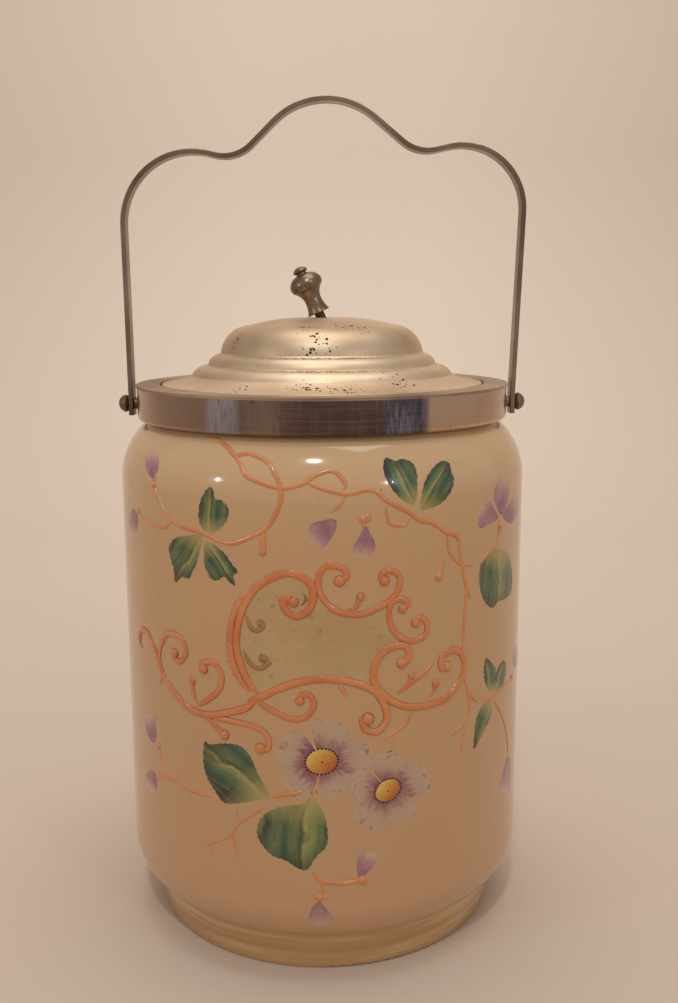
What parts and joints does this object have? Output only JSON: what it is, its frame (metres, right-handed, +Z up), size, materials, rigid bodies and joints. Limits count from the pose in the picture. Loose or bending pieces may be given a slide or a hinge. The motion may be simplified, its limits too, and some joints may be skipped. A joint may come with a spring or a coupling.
{
  "type": "biscuit jar",
  "caption": "Cylindrical enamelled glass jar on a clear foot, with a plated collar, a domed lift-off lid with a loose knob, and a wavy swing bail.",
  "frame": {"origin": "centre of the foot, on the surface the jar stands on", "axes": "+Z up, X along the line through the two bail pivots, front of the jar towards -Y"},
  "size_m": [0.1292, 0.127, 0.2556],
  "materials": {
    "body_glass": "glossy opaque peach ground on glass, clear amber foot",
    "enamel": "raised orange enamel lines and painted leaves and flowers",
    "plaster": "dry white plaster bed",
    "polished_plate": "polished nickel plate with fine vertical streaks",
    "worn_plate": "satin worn nickel plate with brown pitting",
    "tarnished_plate": "dark tarnished nickel plate",
    "dark_steel": "dark oxidised steel fastening"
  },
  "bodies": {
    "jar": {"glass_jar": "body_glass", "neck_plaster": "plaster", "collar_band": "polished_plate", "collar_seat": "worn_plate", "pivot_boss_left": "tarnished_plate", "pivot_boss_right": "tarnished_plate", "pivot_screw_left": "tarnished_plate", "pivot_screw_right": "tarnished_plate"},
    "bail": {"handle_bail": "tarnished_plate"},
    "lid": {"lid_shell": "worn_plate", "lid_bezel": "worn_plate"},
    "knob": {"lid_knob": "tarnished_plate", "knob_stud": "dark_steel", "knob_washer": "dark_steel", "knob_nut": "dark_steel"}
  },
  "joints": [
    {"name": "bail_swing", "type": "hinge", "parent": "jar", "child": "bail", "pos_m": [0, 0, 0.1629], "axis": [1, 0, 0], "range_deg": [-118, 118]},
    {"name": "lid_lift", "type": "slide", "parent": "jar", "child": "lid", "axis": [0, 0, 1], "range_m": [0, 0.045]},
    {"name": "knob_rock", "type": "hinge", "parent": "lid", "child": "knob", "pos_m": [0, 0, 0.1892], "axis": [0, 1, 0], "range_deg": [0, 49]}
  ]
}
